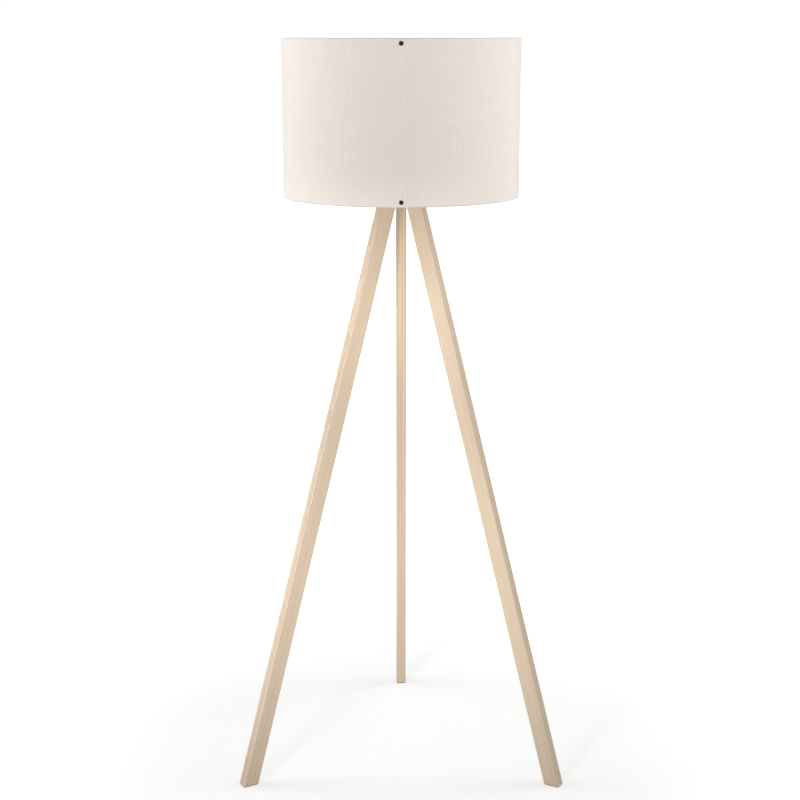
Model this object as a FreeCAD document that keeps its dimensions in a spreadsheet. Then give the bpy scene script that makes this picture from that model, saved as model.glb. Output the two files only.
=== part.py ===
"""Tripod floor lamp with a drum shade, built as a parametric assembly.

Frame: millimetres, +Z up.  The origin is on the floor, on the lamp's upright axis, in the middle of the
three feet.  The front of the lamp faces -Y: one leg goes to the rear (+Y) and two go to the front, and
the shade's lap seam with its two snap rivets faces the front.
"""
import FreeCAD, Part

import os
import re

import Sketcher
from FreeCAD import Placement, Rotation, Vector

doc = FreeCAD.newDocument("TripodFloorLamp")
sheet = doc.addObject("Spreadsheet::Sheet", "Sizes")

SIZES = {
    # the whole lamp
    "overall_height": 1400.0,
    "shade_diameter": 440.0,
    "shade_height": 288.0,
    "foot_circle_radius": 338.0,
    "shade_overhang": 20.0,  # how far the shade's lower rim hangs below the plate's top face
    # legs: straight bars, measured in a level section
    "leg_width": 31.0,  # along the radius
    "leg_thickness": 20.0,  # across it
    "lead_clearance": 1.22,  # from the lock nut's corners to the legs' inner faces, at their tops
    "leg_edge_round": 1.2,
    "pad_thickness": 2.0,
    "pad_inset": 1.2,
    # top plate
    "plate_thickness": 15.0,
    "plate_rim": 8.0,  # wood left outside the legs
    "plate_round": 2.0,
    "recess_depth": 4.0,
    "fit_gap": 0.25,  # between pieces that slot together
    # hanger bolts, washers and nuts
    "bolt_diameter": 6.0,
    "bolt_inset": 20.7,  # from a leg's inner face to the bolt
    "bolt_embed": 34.0,
    "bolt_bite": 0.25,  # how deep the wood thread cuts
    "bolt_proud": 2.5,
    "bolt_chamfer": 0.8,
    "washer_width": 3.0,  # from the bolt to the washer's rim
    "washer_thickness": 1.6,
    "plate_nut_wall": 2.0,  # from the bolt to the nut's flats
    "plate_nut_height": 5.0,
    # threaded nipple, its lock nut and washer, and the cord inlet
    "nipple_diameter": 10.0,
    "nipple_wall": 1.2,
    "nipple_below": 11.0,
    "nipple_above": 9.0,
    "lock_nut_wall": 2.0,  # from the nipple to the nut's flats
    "lock_nut_height": 3.0,
    "lock_washer_lip": 0.4,  # beyond the nut's corners
    "lock_washer_thickness": 1.0,
    "bush_wall": 0.74,
    "bush_flange_width": 1.0,  # beyond the nipple
    "bush_flange_thickness": 2.0,
    "bush_spigot_length": 6.0,
    # lampholder, from the bulb's screw outwards, with heights above the plate's top face
    "shell_play": 0.45,  # between the bulb's screw and the shell
    "shell_wall": 0.5,
    "shell_recess": 4.1,  # from the lampholder's mouth down to the shell
    "shell_flange_width": 5.6,
    "mouth_gap": 0.9,
    "block_ledge": 0.9,
    "spigot_wall": 1.6,
    "spigot_length": 7.0,
    "body_wall": 4.6,
    "body_chamfer": 1.0,
    "bulb_stand_off": 1.9,  # from the lampholder's mouth up to the bulb's skirt
    "holder_wall": 2.2,
    "holder_foot_taper": 4.5,
    "holder_foot_height": 6.0,
    "cap_height": 20.0,
    "cap_floor": 3.5,
    "collar_wall": 4.0,
    "block_rise": 5.9,  # from the cap's rim up to the block's top face
    "contact_diameter": 9.0,
    "contact_height": 1.7,
    "contact_dome": 1.2,
    "contact_rivet_diameter": 4.0,
    "contact_rivet_lip": 1.0,
    "terminal_spacing": 19.0,
    "terminal_screw_diameter": 3.0,
    "terminal_head_diameter": 5.6,
    "terminal_head_height": 1.8,
    "terminal_depth": 8.0,
    # the two ring nuts that clamp the shade, and the shade's fitter ring
    "seat_drop": 17.7,  # from the lampholder's mouth down to the underside of the fitter ring
    "seat_gap": 0.3,
    "ring_nut_height": 6.0,
    "ring_nut_flange": 3.0,
    "ring_nut_wall": 4.4,
    "ring_nut_brim": 4.5,
    "thread_gap": 0.06,
    "grip_diameter": 3.2,
    "fitter_play": 1.4,
    "fitter_width": 15.0,
    "fitter_thickness": 2.2,
    # light bulb
    "bulb_diameter": 60.0,
    "bulb_length": 108.0,
    "bulb_wall": 1.0,
    "bulb_seat_gap": 0.3,
    "tip_diameter": 9.6,
    "tip_height": 2.0,
    "tip_dome": 1.0,
    "insulator_lip": 0.8,
    "insulator_height": 6.0,
    "screw_diameter": 26.3,
    "screw_pitch": 3.6,
    "screw_relief": 0.9,
    "screw_wall": 0.5,
    "screw_length": 24.0,
    "skirt_lip": 0.55,
    "skirt_wall": 1.6,
    "neck_height": 5.0,
    "neck_flare": 0.6,
    "globe_sink": 19.0,  # from the globe's centre down to its open rim
    "board_thickness": 1.6,
    "board_recess": 3.0,
    # shade
    "shade_wall": 0.8,
    "lap_width": 22.0,
    "wire_diameter": 4.0,
    "wire_inset": 1.0,  # from the shade's rim to the wire
    "glue_gap": 0.05,
    "lap_sink": 0.05,  # how far the flap runs into the outer layer
    "weld_sink": 0.6,
    "arm_level_run": 14.0,
    "arm_inner_run": 12.0,
    "arm_end_gap": 1.2,
    "rivet_clearance": 0.3,  # between the wire and the rivet's back
    "rivet_head_diameter": 8.0,
    "rivet_head_height": 1.4,
    "rivet_shank_diameter": 3.6,
    "rivet_back_diameter": 7.4,
    "rivet_back_height": 1.2,
}

for row, (alias, value) in enumerate(SIZES.items(), start=1):
    sheet.set(f"A{row}", alias.replace("_", " "))
    sheet.set(f"B{row}", str(value))
    sheet.setAlias(f"B{row}", alias)
doc.recompute()

# Places worked out from the sizes, as formulas that the document keeps live.
SHADE_BOTTOM = "(overall_height - shade_height)"
PLATE_TOP = f"({SHADE_BOTTOM} + shade_overhang)"
PLATE_BOTTOM = f"({PLATE_TOP} - plate_thickness)"
LEG_TOP = f"({PLATE_BOTTOM} + recess_depth)"
LEG_RISE = f"({LEG_TOP} - pad_thickness)"
NIPPLE_BORE_RADIUS = "(nipple_diameter / 2 - nipple_wall)"
CORD_RADIUS = f"({NIPPLE_BORE_RADIUS} - thread_gap - bush_wall)"
LOCK_NUT_FLATS = "(nipple_diameter + 2 * lock_nut_wall)"
LEG_INNER_RADIUS = f"({LOCK_NUT_FLATS} / sqrt(3) + lead_clearance)"
LEG_TOP_RADIUS = f"({LEG_INNER_RADIUS} + leg_width / 2)"
LEG_RUN = f"(foot_circle_radius - {LEG_TOP_RADIUS})"
PLATE_RADIUS = f"({LEG_INNER_RADIUS} + leg_width + plate_rim)"
BOLT_RADIUS = f"({LEG_INNER_RADIUS} + bolt_inset)"
SHELL_RADIUS = "(screw_diameter / 2 + shell_play)"
MOUTH_RADIUS = f"({SHELL_RADIUS} + shell_wall + mouth_gap)"
BLOCK_RADIUS = f"({MOUTH_RADIUS} + block_ledge)"
SPIGOT_RADIUS = f"({BLOCK_RADIUS} + thread_gap + spigot_wall)"
CAP_BORE_RADIUS = f"({SPIGOT_RADIUS} + fit_gap)"
HOLDER_RADIUS = f"({CAP_BORE_RADIUS} + holder_wall)"
THREAD_RADIUS = f"({MOUTH_RADIUS} + body_wall)"
BLOCK_BOTTOM = "(cap_height - spigot_length)"
BLOCK_TOP = "(cap_height + block_rise)"
TIP_BOTTOM = f"({BLOCK_TOP} + contact_height + bulb_seat_gap)"
SCREW_BOTTOM = f"({TIP_BOTTOM} + tip_height + insulator_height)"
SCREW_TOP = f"({SCREW_BOTTOM} + screw_length)"
SCREW_ROOT = "(screw_diameter / 2 - screw_relief)"
HOLDER_TOP = f"({SCREW_TOP} - bulb_stand_off)"
SHELL_BOTTOM = f"({BLOCK_TOP} + shell_wall)"
SHELL_TOP = f"({HOLDER_TOP} - shell_recess)"
RING_NECK_RADIUS = f"({THREAD_RADIUS} + ring_nut_wall)"
RING_NUT_RADIUS = f"({RING_NECK_RADIUS} + ring_nut_brim)"
FITTER_BORE_RADIUS = f"({THREAD_RADIUS} + fitter_play)"
FITTER_RADIUS = f"({FITTER_BORE_RADIUS} + fitter_width)"
FITTER_BOTTOM = f"({PLATE_TOP} + {HOLDER_TOP} - seat_drop)"
FITTER_TOP = f"({FITTER_BOTTOM} + fitter_thickness)"
GLOBE_CENTRE = f"({TIP_BOTTOM} + bulb_length - bulb_diameter / 2)"
GLOBE_RIM = f"({GLOBE_CENTRE} - globe_sink)"
GLOBE_RIM_RADIUS = "sqrt((bulb_diameter / 2)^2 - globe_sink^2)"
BOARD_BOTTOM = f"({GLOBE_RIM} - board_recess)"
BOARD_RADIUS = f"({GLOBE_RIM_RADIUS} - 2 * skirt_wall)"
NECK_RADIUS = "(screw_diameter / 2 + skirt_lip)"
SHADE_RADIUS = "(shade_diameter / 2)"
LINING_RADIUS = f"({SHADE_RADIUS} - shade_wall)"
FLAP_RADIUS = f"({LINING_RADIUS} - shade_wall)"
WIRE_RADIUS = f"({FLAP_RADIUS} - glue_gap - wire_diameter / 2)"
LOWER_WIRE = f"({SHADE_BOTTOM} + wire_inset + wire_diameter / 2)"
UPPER_WIRE = "(overall_height - wire_inset - wire_diameter / 2)"
RIVET_DISTANCE = "(wire_inset + wire_diameter + rivet_clearance + rivet_back_diameter / 2)"
RIVET_HEIGHTS = [f"{SHADE_BOTTOM} + {RIVET_DISTANCE}", f"overall_height - {RIVET_DISTANCE}"]
ARM_START = f"({WIRE_RADIUS} - wire_diameter / 2 + weld_sink)"
ARM_TOP = f"({FITTER_BOTTOM} - wire_diameter / 2 + weld_sink)"

REAR = 90.0
FRONT_LEFT = 210.0
FRONT_RIGHT = 330.0
FRONT = 270.0
LEG_COUNT = 3
ARM_COUNT = 3
TERMINAL_COUNT = 2
GRIP_COUNT = 16
THREAD_TURNS = 5
NEAR_ZERO = 1e-9
LEVEL = 1e-3  # an edge whose height changes less than this lies level


def live(formula):
    """Point each size named in a formula at its cell."""
    return re.sub(r"[a-z]+(?:_[a-z]+)+", lambda word: "Sizes." + word.group(0), formula)


def number(formula):
    """What a formula comes to with the present sizes."""
    value = doc.Sizes.evalExpression(live(formula))
    return float(getattr(value, "Value", value))


def bind(thing, prop, formula):
    thing.setExpression(prop, live(formula))


def origin_plane(body, role):
    return next(plane for plane in body.Origin.OriginFeatures if plane.Role == role)


def new_body(label, angle=0.0):
    """A body turned about the lamp's axis, so that its +X side points at that angle."""
    body = doc.addObject("PartDesign::Body", label)
    body.Label = label
    body.AllowCompound = True
    body.Placement = Placement(Vector(), Rotation(Vector(0, 0, 1), angle))
    return body


def new_sketch(body, name, role="XY_Plane", offset="0"):
    sketch = body.newObject("Sketcher::SketchObject", f"{body.Name}_{name}")
    sketch.AttachmentSupport = [(origin_plane(body, role), "")]
    sketch.MapMode = "FlatFace"
    bind(sketch, "AttachmentOffset.Base.z", f"1 mm * ({offset})")
    return sketch


def hold(sketch, kind, *where, formula):
    """Add a constraint whose value is a formula."""
    index = sketch.addConstraint(Sketcher.Constraint(kind, *where, number(formula)))
    bind(sketch, f"Constraints[{index}]", formula)


def place_point(sketch, geometry, end, across, up):
    """Hold one point of a sketch at two formulas from the sketch's origin."""
    for kind, axis, formula in (("DistanceX", -2, across), ("DistanceY", -1, up)):
        if abs(number(formula)) < NEAR_ZERO:
            sketch.addConstraint(Sketcher.Constraint("PointOnObject", geometry, end, axis))
        else:
            hold(sketch, kind, -1, 1, geometry, end, formula=formula)


def draw_outline(sketch, corners, closed=True):
    """Straight lines through corners, each held at its formulas."""
    points = [Vector(number(across), number(up), 0) for across, up in corners]
    count = len(points) if closed else len(points) - 1
    for i in range(count):
        sketch.addGeometry(Part.LineSegment(points[i], points[(i + 1) % len(points)]))
    for i in range(count if closed else count - 1):
        sketch.addConstraint(Sketcher.Constraint("Coincident", i, 2, (i + 1) % count, 1))
    for i, (across, up) in enumerate(corners):
        if i < count:
            place_point(sketch, i, 1, across, up)
        else:
            place_point(sketch, count - 1, 2, across, up)


def draw_circle(sketch, across, up, radius):
    centre = Vector(number(across), number(up), 0)
    index = sketch.addGeometry(Part.Circle(centre, Vector(0, 0, 1), number(radius)))
    place_point(sketch, index, 3, across, up)
    hold(sketch, "Radius", index, formula=radius)


def draw_block(sketch, low, high, width):
    """A rectangle from low to high along X, centred on it."""
    half = f"({width}) / 2"
    draw_outline(sketch, [(low, f"-{half}"), (high, f"-{half}"), (high, half), (low, half)])


def draw_hexagon(sketch, across, flats):
    """A hexagon about a point on the X axis, from the distance across its flats."""
    corner = f"(({flats}) / sqrt(3))"
    half = f"(({flats}) / 2)"
    draw_outline(
        sketch,
        [
            (f"{across} + {corner}", "0"),
            (f"{across} + {corner} / 2", half),
            (f"{across} - {corner} / 2", half),
            (f"{across} - {corner}", "0"),
            (f"{across} - {corner} / 2", f"-{half}"),
            (f"{across} + {corner} / 2", f"-{half}"),
        ],
    )


def pad(body, sketch, length):
    feature = body.newObject("PartDesign::Pad", f"{sketch.Name}_pad")
    feature.Profile = sketch
    bind(feature, "Length", length)
    sketch.Visibility = False
    doc.recompute()
    return feature


def pocket(body, sketch, length, upward=False):
    """Cut a sketch down into a body, or upward, and make sure that it took material away."""
    before = body.Shape.Volume
    feature = body.newObject("PartDesign::Pocket", f"{sketch.Name}_pocket")
    feature.Profile = sketch
    feature.Reversed = upward
    bind(feature, "Length", length)
    doc.recompute()
    if body.Shape.Volume >= before:
        raise RuntimeError(f"{feature.Name} cuts nothing")
    return feature


def pattern(body, features, count):
    """Repeat features about the lamp's axis."""
    feature = body.newObject("PartDesign::PolarPattern", f"{body.Name}_pattern")
    feature.Originals = features
    feature.Axis = (next(axis for axis in body.Origin.OriginFeatures if axis.Role == "Z_Axis"), [""])
    feature.Angle = 360.0
    feature.Occurrences = count
    body.Tip = feature
    doc.recompute()


def turned(label, corners, base="0", angle=0.0):
    """A body of revolution about the lamp's axis, from an outline of radius and height above a base."""
    body = new_body(label, angle)
    sketch = new_sketch(body, "outline", "XZ_Plane")
    draw_outline(sketch, [(radius, f"{base} + {height}") for radius, height in corners])
    feature = body.newObject("PartDesign::Revolution", f"{label}_turn")
    feature.Profile = sketch
    feature.ReferenceAxis = (sketch, ["V_Axis"])
    feature.Angle = 360.0
    doc.recompute()
    return body


def eased(body, edges, radius):
    """Round edges of a body's last feature."""
    last = body.Tip
    names = [f"Edge{i + 1}" for i, edge in enumerate(last.Shape.Edges) if edges(edge)]
    if not names:
        raise RuntimeError(f"{body.Name} has no edge to round")
    feature = body.newObject("PartDesign::Fillet", f"{body.Name}_round")
    feature.Base = (last, names)
    bind(feature, "Radius", radius)
    doc.recompute()


def upright_span(edge):
    return edge.BoundBox.ZLength


# --- Legs: three straight bars of pale wood, cut level at both ends ------------------------------------

def make_leg(label, angle):
    """A slanting bar with eased edges, and a pilot hole in its top end for the hanger bolt."""
    body = new_body(label, angle)
    section = new_sketch(body, "section", offset="pad_thickness")
    draw_block(
        section,
        "foot_circle_radius - leg_width / 2",
        "foot_circle_radius + leg_width / 2",
        "leg_thickness",
    )
    bar = pad(body, section, LEG_RISE)
    bar.UseCustomVector = True
    bind(bar, "Direction.x", f"-{LEG_RUN}")
    bind(bar, "Direction.y", "0")
    bind(bar, "Direction.z", LEG_RISE)
    bar.AlongSketchNormal = True
    doc.recompute()
    long_edge = 0.9 * number(LEG_RISE)
    eased(body, lambda edge: upright_span(edge) > long_edge, "leg_edge_round")
    pilot = new_sketch(body, "pilot", offset=LEG_TOP)
    draw_circle(pilot, BOLT_RADIUS, "0", "bolt_diameter / 2 - bolt_bite")
    pocket(body, pilot, "bolt_embed + fit_gap")


make_leg("leg_rear", REAR)
make_leg("leg_front_left", FRONT_LEFT)
make_leg("leg_front_right", FRONT_RIGHT)

# Felt pads glued under the feet.
felt_pads = new_body("felt_pads", REAR)
felt = new_sketch(felt_pads, "felt")
draw_block(
    felt,
    "foot_circle_radius - leg_width / 2 + pad_inset",
    "foot_circle_radius + leg_width / 2 - pad_inset",
    "leg_thickness - 2 * pad_inset",
)
pattern(felt_pads, [pad(felt_pads, felt, "pad_thickness")], LEG_COUNT)

# --- Top plate: a turned wooden disc that the legs are bolted to ---------------------------------------

top_plate = new_body("top_plate", REAR)
disc = new_sketch(top_plate, "disc", offset=PLATE_BOTTOM)
draw_circle(disc, "0", "0", PLATE_RADIUS)
pad(top_plate, disc, "plate_thickness")
eased(top_plate, lambda edge: upright_span(edge) < LEVEL, "plate_round")
lead_hole = new_sketch(top_plate, "lead_hole", offset=PLATE_TOP)
draw_circle(lead_hole, "0", "0", "nipple_diameter / 2 + fit_gap")
pocket(top_plate, lead_hole, "plate_thickness")
bolt_hole = new_sketch(top_plate, "bolt_hole", offset=PLATE_TOP)
draw_circle(bolt_hole, BOLT_RADIUS, "0", "bolt_diameter / 2 + fit_gap")
bolt_cut = pocket(top_plate, bolt_hole, "plate_thickness")
recess = new_sketch(top_plate, "recess", offset=PLATE_BOTTOM)
draw_block(
    recess,
    f"{LEG_INNER_RADIUS} - fit_gap",
    f"{LEG_INNER_RADIUS} + leg_width + fit_gap + recess_depth * {LEG_RUN} / {LEG_RISE}",
    "leg_thickness + 2 * fit_gap",
)
recess_cut = pocket(top_plate, recess, "recess_depth", upward=True)
pattern(top_plate, [bolt_cut, recess_cut], LEG_COUNT)

# Hanger bolts: wood thread in the leg, machine thread through the plate.
hanger_bolts = new_body("hanger_bolts", REAR)
shank = new_sketch(hanger_bolts, "shank", offset=f"{LEG_TOP} - bolt_embed")
draw_circle(shank, BOLT_RADIUS, "0", "bolt_diameter / 2")
bolt_length = f"bolt_embed + {PLATE_TOP} - {LEG_TOP} + washer_thickness + plate_nut_height + bolt_proud"
shank_pad = pad(hanger_bolts, shank, bolt_length)
bolt_ends = hanger_bolts.newObject("PartDesign::Chamfer", "hanger_bolts_ends")
bolt_ends.Base = (
    shank_pad,
    [f"Edge{i + 1}" for i, edge in enumerate(shank_pad.Shape.Edges) if upright_span(edge) < LEVEL],
)
bind(bolt_ends, "Size", "bolt_chamfer")
doc.recompute()
pattern(hanger_bolts, [shank_pad, bolt_ends], LEG_COUNT)

plate_washers = new_body("plate_washers", REAR)
washer = new_sketch(plate_washers, "washer", offset=PLATE_TOP)
draw_circle(washer, BOLT_RADIUS, "0", "bolt_diameter / 2 + washer_width")
draw_circle(washer, BOLT_RADIUS, "0", "bolt_diameter / 2 + fit_gap")
pattern(plate_washers, [pad(plate_washers, washer, "washer_thickness")], LEG_COUNT)

plate_nuts = new_body("plate_nuts", REAR)
nut = new_sketch(plate_nuts, "nut", offset=f"{PLATE_TOP} + washer_thickness")
draw_hexagon(nut, BOLT_RADIUS, "bolt_diameter + 2 * plate_nut_wall")
draw_circle(nut, BOLT_RADIUS, "0", "bolt_diameter / 2 + thread_gap")
pattern(plate_nuts, [pad(plate_nuts, nut, "plate_nut_height")], LEG_COUNT)

# --- Lead-in: threaded nipple through the plate, locked from below, with the cord inlet bush -----------

threaded_nipple = new_body("threaded_nipple")
tube = new_sketch(threaded_nipple, "tube", offset=f"{PLATE_BOTTOM} - nipple_below")
draw_circle(tube, "0", "0", "nipple_diameter / 2")
draw_circle(tube, "0", "0", NIPPLE_BORE_RADIUS)
pad(threaded_nipple, tube, "nipple_below + plate_thickness + nipple_above")

nipple_washer = new_body("nipple_washer")
flat = new_sketch(nipple_washer, "flat", offset=f"{PLATE_BOTTOM} - lock_washer_thickness")
draw_circle(flat, "0", "0", f"{LOCK_NUT_FLATS} / sqrt(3) + lock_washer_lip")
draw_circle(flat, "0", "0", "nipple_diameter / 2 + fit_gap")
pad(nipple_washer, flat, "lock_washer_thickness")

nipple_lock_nut = new_body("nipple_lock_nut")
hexagon = new_sketch(
    nipple_lock_nut, "hexagon", offset=f"{PLATE_BOTTOM} - lock_washer_thickness - lock_nut_height"
)
draw_hexagon(hexagon, "0", LOCK_NUT_FLATS)
draw_circle(hexagon, "0", "0", "nipple_diameter / 2 + thread_gap")
pad(nipple_lock_nut, hexagon, "lock_nut_height")

turned(
    "cord_inlet_bush",
    [
        (CORD_RADIUS, "-bush_flange_thickness"),
        ("nipple_diameter / 2 + bush_flange_width", "-bush_flange_thickness"),
        ("nipple_diameter / 2 + bush_flange_width", "0"),
        (f"{NIPPLE_BORE_RADIUS} - thread_gap", "0"),
        (f"{NIPPLE_BORE_RADIUS} - thread_gap", "bush_spigot_length"),
        (CORD_RADIUS, "bush_spigot_length"),
    ],
    base=f"{PLATE_BOTTOM} - nipple_below",
)

# --- Lampholder: cap, threaded body, contact block, screw shell, contact and terminals -----------------

turned(
    "holder_cap",
    [
        ("nipple_diameter / 2 + thread_gap", "0"),
        (f"{HOLDER_RADIUS} - holder_foot_taper", "0"),
        (HOLDER_RADIUS, "holder_foot_height"),
        (HOLDER_RADIUS, "cap_height"),
        (CAP_BORE_RADIUS, "cap_height"),
        (CAP_BORE_RADIUS, "holder_foot_height"),
        (f"{CAP_BORE_RADIUS} - holder_foot_taper + holder_wall / 2", "cap_floor"),
        ("nipple_diameter / 2 + collar_wall", "cap_floor"),
        ("nipple_diameter / 2 + collar_wall", "nipple_above"),
        ("nipple_diameter / 2 + thread_gap", "nipple_above"),
    ],
    base=PLATE_TOP,
)

turned(
    "holder_body",
    [
        (SPIGOT_RADIUS, BLOCK_BOTTOM),
        (SPIGOT_RADIUS, "cap_height"),
        (THREAD_RADIUS, "cap_height"),
        (THREAD_RADIUS, f"{HOLDER_TOP} - body_chamfer"),
        (f"{THREAD_RADIUS} - body_chamfer", HOLDER_TOP),
        (MOUTH_RADIUS, HOLDER_TOP),
        (MOUTH_RADIUS, BLOCK_TOP),
        (f"{BLOCK_RADIUS} + thread_gap", BLOCK_TOP),
        (f"{BLOCK_RADIUS} + thread_gap", BLOCK_BOTTOM),
    ],
    base=PLATE_TOP,
)

contact_block = new_body("contact_block")
block = new_sketch(contact_block, "block", offset=f"{PLATE_TOP} + {BLOCK_BOTTOM}")
draw_circle(block, "0", "0", BLOCK_RADIUS)
draw_circle(block, "0", "0", "contact_rivet_diameter / 2 + thread_gap")
pad(contact_block, block, f"{BLOCK_TOP} - {BLOCK_BOTTOM}")
terminal_hole = new_sketch(contact_block, "terminal_hole", offset=f"{PLATE_TOP} + {BLOCK_BOTTOM}")
draw_circle(terminal_hole, "terminal_spacing / 2", "0", "terminal_screw_diameter / 2 + thread_gap")
pattern(
    contact_block,
    [pocket(contact_block, terminal_hole, "terminal_depth + fit_gap", upward=True)],
    TERMINAL_COUNT,
)

turned(
    "screw_shell",
    [
        (f"{SHELL_RADIUS} - shell_flange_width", BLOCK_TOP),
        (f"{SHELL_RADIUS} + shell_wall", BLOCK_TOP),
        (f"{SHELL_RADIUS} + shell_wall", SHELL_TOP),
        (SHELL_RADIUS, SHELL_TOP),
        (SHELL_RADIUS, SHELL_BOTTOM),
        (f"{SHELL_RADIUS} - shell_flange_width", SHELL_BOTTOM),
    ],
    base=PLATE_TOP,
)

turned(
    "centre_contact",
    [
        ("0", f"{BLOCK_BOTTOM} - contact_rivet_lip"),
        ("contact_rivet_diameter / 2 + contact_rivet_lip", f"{BLOCK_BOTTOM} - contact_rivet_lip"),
        ("contact_rivet_diameter / 2 + contact_rivet_lip", BLOCK_BOTTOM),
        ("contact_rivet_diameter / 2", BLOCK_BOTTOM),
        ("contact_rivet_diameter / 2", BLOCK_TOP),
        ("contact_diameter / 2", BLOCK_TOP),
        ("contact_diameter / 2", f"{BLOCK_TOP} + contact_height / 2"),
        ("contact_diameter / 2 - contact_dome", f"{BLOCK_TOP} + contact_height"),
        ("0", f"{BLOCK_TOP} + contact_height"),
    ],
    base=PLATE_TOP,
)

terminal_screws = new_body("terminal_screws")
head = new_sketch(
    terminal_screws, "head", offset=f"{PLATE_TOP} + {BLOCK_BOTTOM} - terminal_head_height"
)
draw_circle(head, "terminal_spacing / 2", "0", "terminal_head_diameter / 2")
head_pad = pad(terminal_screws, head, "terminal_head_height")
thread = new_sketch(terminal_screws, "thread", offset=f"{PLATE_TOP} + {BLOCK_BOTTOM}")
draw_circle(thread, "terminal_spacing / 2", "0", "terminal_screw_diameter / 2")
thread_pad = pad(terminal_screws, thread, "terminal_depth")
pattern(terminal_screws, [head_pad, thread_pad], TERMINAL_COUNT)

# --- Ring nuts: two flanged nuts on the lampholder's thread, one each side of the fitter ring ----------

def make_ring_nut(label, face, side):
    """A nut whose flange is at a face, with its neck on the side given by the sign."""
    body = turned(
        label,
        [
            (f"{THREAD_RADIUS} + thread_gap", "0"),
            (RING_NUT_RADIUS, "0"),
            (RING_NUT_RADIUS, f"{side} ring_nut_flange"),
            (RING_NECK_RADIUS, f"{side} ring_nut_flange"),
            (RING_NECK_RADIUS, f"{side} ring_nut_height"),
            (f"{THREAD_RADIUS} + thread_gap", f"{side} ring_nut_height"),
        ],
        base=face,
    )
    low = f"{face} - ring_nut_flange" if side == "-1 *" else face
    grip = new_sketch(body, "grip", offset=low)
    draw_circle(grip, f"{RING_NUT_RADIUS} + grip_diameter / 4", "0", "grip_diameter / 2")
    pattern(body, [pocket(body, grip, "ring_nut_flange", upward=True)], GRIP_COUNT)


make_ring_nut("shade_nut_lower", f"({FITTER_BOTTOM} - seat_gap)", "-1 *")
make_ring_nut("shade_nut_upper", f"({FITTER_TOP} + seat_gap)", "1 *")

# --- Light bulb: opal globe, skirt, screw cap, insulator, tip contact and LED board --------------------

turned(
    "bulb_tip",
    [
        ("0", TIP_BOTTOM),
        ("tip_diameter / 2 - tip_dome", TIP_BOTTOM),
        ("tip_diameter / 2", f"{TIP_BOTTOM} + tip_dome"),
        ("tip_diameter / 2", f"{TIP_BOTTOM} + tip_height"),
        ("0", f"{TIP_BOTTOM} + tip_height"),
    ],
    base=PLATE_TOP,
)

turned(
    "bulb_insulator",
    [
        ("0", f"{TIP_BOTTOM} + tip_height"),
        ("tip_diameter / 2 + insulator_lip", f"{TIP_BOTTOM} + tip_height"),
        (f"{SCREW_ROOT} - screw_wall", SCREW_BOTTOM),
        ("0", SCREW_BOTTOM),
    ],
    base=PLATE_TOP,
)

thread_outline = []
for turn in range(THREAD_TURNS):
    root = f"{SCREW_BOTTOM} + {turn} * screw_pitch"
    thread_outline.append((SCREW_ROOT, root))
    thread_outline.append(("screw_diameter / 2", f"{root} + screw_pitch / 2"))
thread_outline.append((SCREW_ROOT, f"{SCREW_BOTTOM} + {THREAD_TURNS} * screw_pitch"))
turned(
    "bulb_cap",
    thread_outline
    + [
        ("screw_diameter / 2", SCREW_TOP),
        ("screw_diameter / 2 - screw_wall", SCREW_TOP),
        (f"{SCREW_ROOT} - screw_wall", f"{SCREW_BOTTOM} + {THREAD_TURNS} * screw_pitch"),
        (f"{SCREW_ROOT} - screw_wall", SCREW_BOTTOM),
    ],
    base=PLATE_TOP,
)

turned(
    "bulb_skirt",
    [
        (f"{NECK_RADIUS} - skirt_wall", SCREW_TOP),
        (NECK_RADIUS, SCREW_TOP),
        (f"{NECK_RADIUS} + neck_flare", f"{SCREW_TOP} + neck_height"),
        (GLOBE_RIM_RADIUS, BOARD_BOTTOM),
        (GLOBE_RIM_RADIUS, GLOBE_RIM),
        (f"{BOARD_RADIUS} + thread_gap", GLOBE_RIM),
        (f"{BOARD_RADIUS} + thread_gap", BOARD_BOTTOM),
        (f"{BOARD_RADIUS} - skirt_wall", BOARD_BOTTOM),
        (f"{NECK_RADIUS} - skirt_wall", f"{SCREW_TOP} + neck_height"),
    ],
    base=PLATE_TOP,
)

led_board = new_body("led_board")
board = new_sketch(led_board, "board", offset=f"{PLATE_TOP} + {BOARD_BOTTOM}")
draw_circle(board, "0", "0", BOARD_RADIUS)
pad(led_board, board, "board_thickness")


def sphere(name, radius):
    """A ball centred on the bulb's globe."""
    ball = doc.addObject("Part::Sphere", name)
    bind(ball, "Radius", radius)
    bind(ball, "Placement.Base.z", f"1 mm * ({PLATE_TOP} + {GLOBE_CENTRE})")
    return ball


globe_shell = doc.addObject("Part::Cut", "globe_shell")
globe_shell.Base = sphere("globe_outside", "bulb_diameter / 2")
globe_shell.Tool = sphere("globe_inside", "bulb_diameter / 2 - bulb_wall")
below_rim = doc.addObject("Part::Cylinder", "below_rim")
bind(below_rim, "Radius", "bulb_diameter")
bind(below_rim, "Height", "bulb_diameter")
bind(below_rim, "Placement.Base.z", f"1 mm * ({PLATE_TOP} + {GLOBE_RIM} - bulb_diameter)")
bulb_globe = doc.addObject("Part::Cut", "bulb_globe")
bulb_globe.Base = globe_shell
bulb_globe.Tool = below_rim
bulb_globe.Label = "bulb_globe"

# --- Shade: a laminated fabric panel rolled round two wire rings, lapped and riveted at the front ------

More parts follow.
